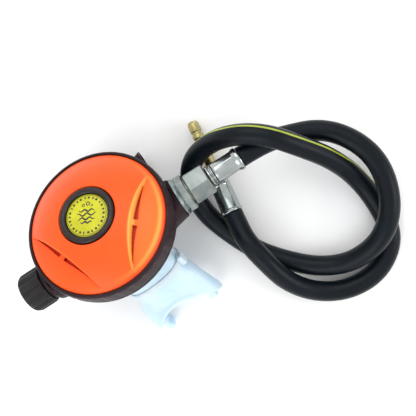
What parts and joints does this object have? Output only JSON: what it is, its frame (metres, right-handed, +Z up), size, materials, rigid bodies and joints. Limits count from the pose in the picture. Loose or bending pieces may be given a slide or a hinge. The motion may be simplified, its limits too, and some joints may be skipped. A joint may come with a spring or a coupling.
{
  "type": "scuba regulator set",
  "caption": "Second-stage diving regulator with a vented orange front cover, purge button, adjusting knob, mouthpiece and a looped hose ending in a barbed tail",
  "frame": {"origin": "centre of the floor footprint of the regulator and its rigid inlet fittings, on the floor; the free hose and what is on it don't count", "axes": "+X along the valve barrel from the adjusting knob to the hose, +Z up with the regulator lying on its mouthpiece and exhaust tee, +Y away from the mouthpiece"},
  "size_m": [0.2113, 0.1572, 0.0783],
  "materials": {
    "cover_orange": "smooth moulded, satin",
    "case_black": "moulded, satin",
    "knob_black": "moulded, fine matt",
    "button_black": "moulded, semi gloss",
    "label_yellow": "printed label",
    "inner_plastic": "moulded",
    "silicone_clear": "translucent silicone, frosted",
    "silicone_inner": "soft silicone",
    "tie_nylon": "nylon",
    "plated_brass": "nickel-chrome plate on brass, satin wear",
    "steel": "stainless spring and sheet",
    "brass": "turned brass, dulled",
    "hose_rubber": "smooth extruded cover with a thin coloured stripe",
    "seal_rubber": "o-ring rubber"
  },
  "bodies": {
    "case": {"case_shell": "case_black", "retaining_ring": "case_black", "front_cover": "cover_orange", "inner_grille": "inner_plastic", "purge_spring": "steel", "diaphragm": "silicone_inner", "valve_barrel": "plated_brass", "barrel_oring_in": "seal_rubber", "barrel_oring_out": "seal_rubber", "inlet_locknut": "plated_brass", "orifice": "brass", "orifice_oring": "seal_rubber", "poppet_spring": "steel", "knob_gland": "plated_brass", "hose_stem": "plated_brass", "inlet_ferrule": "plated_brass", "hose": "hose_rubber", "outlet_ferrule": "plated_brass", "barbed_fitting": "brass", "exhaust_valve": "silicone_inner", "exhaust_tee": "case_black", "mouthpiece": "silicone_clear", "mouthpiece_tie": "tie_nylon"},
    "button": {"purge_button": "button_black", "purge_label": "label_yellow"},
    "plate": {"diaphragm_plate": "inner_plastic"},
    "lever": {"demand_lever": "steel"},
    "valve": {"poppet": "inner_plastic", "poppet_seat": "seal_rubber"},
    "knob": {"adjusting_knob": "knob_black", "knob_screw": "steel"},
    "carrier": {"spring_carrier": "brass", "carrier_oring": "seal_rubber"},
    "nut": {"swivel_nut": "plated_brass"}
  },
  "joints": [
    {"name": "purge_press", "type": "slide", "parent": "case", "child": "button", "axis": [-0.1167, -0.4227, -0.8987], "range_m": [0, 0.0035], "stiffness_N_per_m": 1200, "springref_m": -0.002, "deforming": ["purge_spring"]},
    {"name": "diaphragm_travel", "type": "slide", "parent": "case", "child": "plate", "axis": [-0.1167, -0.4227, -0.8987], "range_m": [0, 0.0035], "deforming": ["diaphragm"]},
    {"name": "lever_swing", "type": "hinge", "parent": "case", "child": "lever", "pos_m": [-0.02117, 0.01088, 0.05232], "axis": [-0.0494, 0.9063, -0.4198], "range_deg": [0, 9.3]},
    {"name": "poppet_travel", "type": "slide", "parent": "case", "child": "valve", "axis": [-0.9919, 0.0046, 0.1266], "range_m": [0, 0.0012], "deforming": ["poppet_spring"]},
    {"name": "knob_turn", "type": "hinge", "parent": "case", "child": "knob", "pos_m": [-0.06374, 0.00778, 0.05063], "axis": [0.9919, -0.0046, -0.1266], "range_deg": [0, 900]},
    {"name": "carrier_travel", "type": "slide", "parent": "case", "child": "carrier", "axis": [0.9919, -0.0046, -0.1266], "range_m": [0, 0.0025]},
    {"name": "nut_spin", "type": "hinge", "parent": "case", "child": "nut", "pos_m": [0.04537, 0.00727, 0.0367], "axis": [0.9919, -0.0046, -0.1266], "continuous": true}
  ],
  "couplings": [
    {"joint": "diaphragm_travel", "follows": "purge_press", "ratio": 1},
    {"joint": "lever_swing", "follows": "purge_press", "rad_per_m": 45.7},
    {"joint": "poppet_travel", "follows": "purge_press", "ratio": 0.33},
    {"joint": "carrier_travel", "follows": "knob_turn", "m_per_rad": 0.000159}
  ]
}
